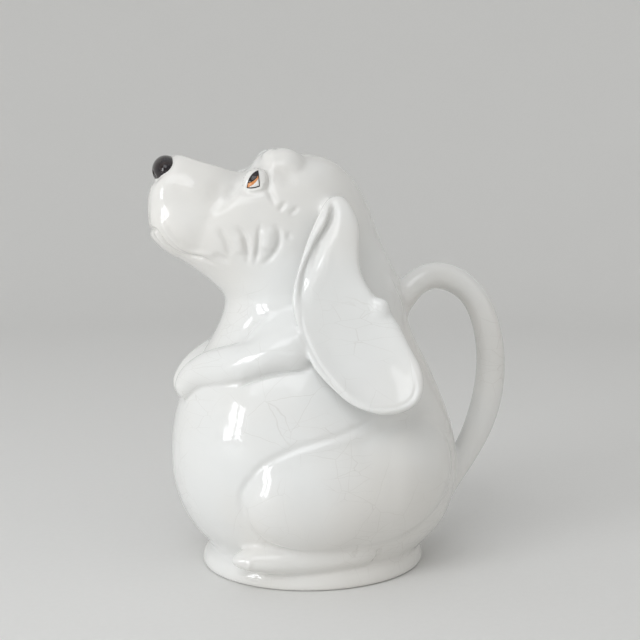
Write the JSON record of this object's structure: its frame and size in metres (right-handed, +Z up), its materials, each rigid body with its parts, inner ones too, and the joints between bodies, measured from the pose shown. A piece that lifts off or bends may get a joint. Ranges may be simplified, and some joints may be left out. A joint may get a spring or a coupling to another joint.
{
  "type": "dog pitcher",
  "caption": "Glazed pottery pitcher cast as a seated dog on an oval plinth, with a loop handle at its back and a pouring opening along its muzzle.",
  "frame": {"origin": "Centre of the flat underside of the plinth, on the surface that the pitcher stands on.", "axes": "+Z up from the table to the crown of the head; -X is where the dog faces and the pitcher pours, and the handle is at +X; +Y is the dog's right side and -Y its left side."},
  "size_m": [0.2094, 0.1488, 0.2397],
  "materials": {
    "white_glaze": "glossy white glaze with fine crazing",
    "black_glaze": "glossy black underglaze colour",
    "eye_white_glaze": "glossy white enamel",
    "amber_glaze": "glossy amber brown enamel"
  },
  "bodies": {
    "root": {"body": "white_glaze", "plinth": "white_glaze", "handle": "white_glaze", "left_ear": "white_glaze", "left_forearm": "white_glaze", "left_haunch": "white_glaze", "left_hind_foot": "white_glaze", "right_ear": "white_glaze", "right_forearm": "white_glaze", "right_haunch": "white_glaze", "right_hind_foot": "white_glaze", "nose": "black_glaze", "left_eye_white": "eye_white_glaze", "left_iris": "amber_glaze", "left_pupil": "black_glaze", "right_eye_white": "eye_white_glaze", "right_iris": "amber_glaze", "right_pupil": "black_glaze"}
  },
  "joints": []
}
